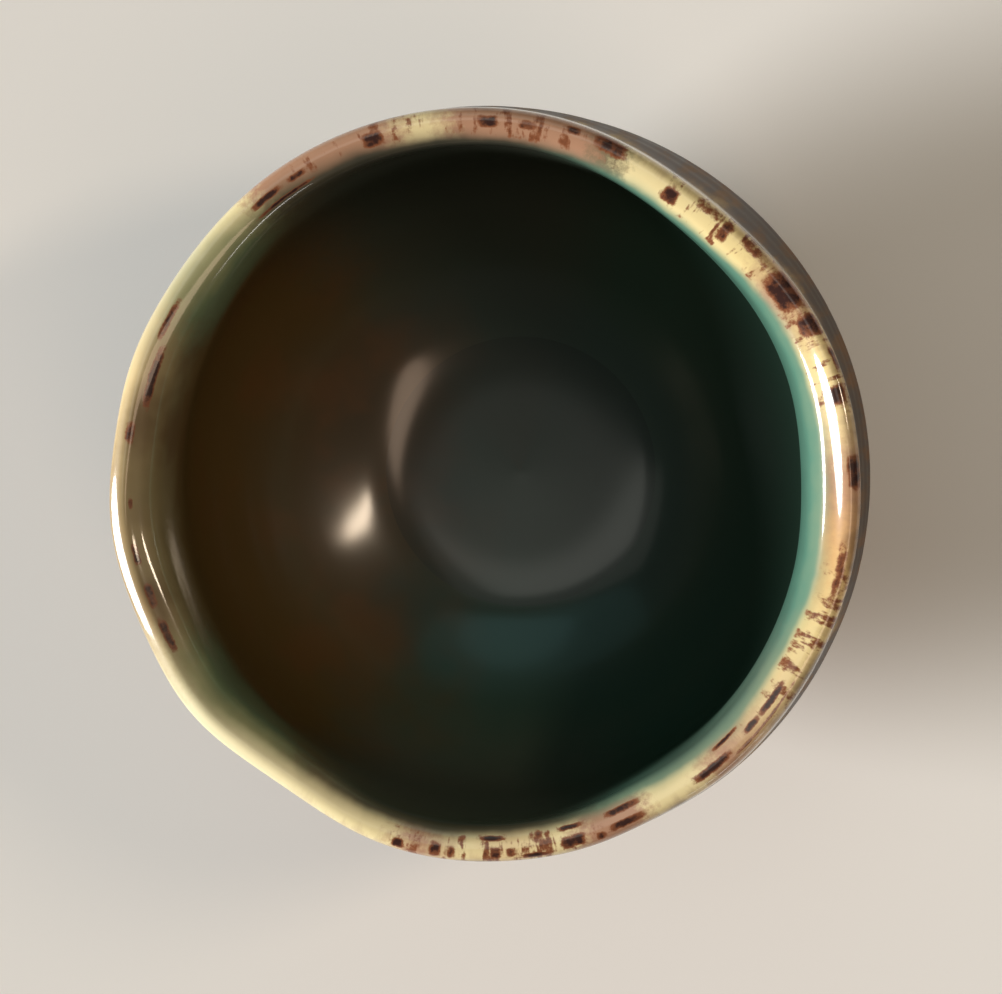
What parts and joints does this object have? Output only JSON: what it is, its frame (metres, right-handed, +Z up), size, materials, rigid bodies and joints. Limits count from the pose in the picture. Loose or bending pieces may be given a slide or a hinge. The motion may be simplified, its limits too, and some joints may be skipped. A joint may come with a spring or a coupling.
{
  "type": "guinomi sake cup",
  "caption": "Hand-formed stoneware sake cup: thick-walled round bowl with a pressed, uneven lip on a luted foot ring, glazed inside and out, for drinking sake.",
  "frame": {"origin": "middle of the foot ring, on the surface that the cup stands on", "axes": "+Z up out of the mouth, +X towards the right of the picture, +Y towards its top"},
  "size_m": [0.0728, 0.0728, 0.05],
  "materials": {
    "stoneware": "matte, gritty, fired brown stoneware",
    "slip": "matte fired slip of the same clay",
    "teal_glaze": "glossy deep teal to olive glaze",
    "pool_glass": "glossy, glassy blue-green pool",
    "iron_glaze": "glossy amber to rust-brown iron glaze",
    "cream_glaze": "glossy cream glaze broken with iron-brown specks"
  },
  "bodies": {
    "root": {"clay_body": "stoneware", "foot_ring": "stoneware", "foot_slip": "slip", "inside_glaze": "teal_glaze", "glaze_pool": "pool_glass", "outside_glaze": "iron_glaze", "lip_glaze": "cream_glaze"}
  },
  "joints": []
}
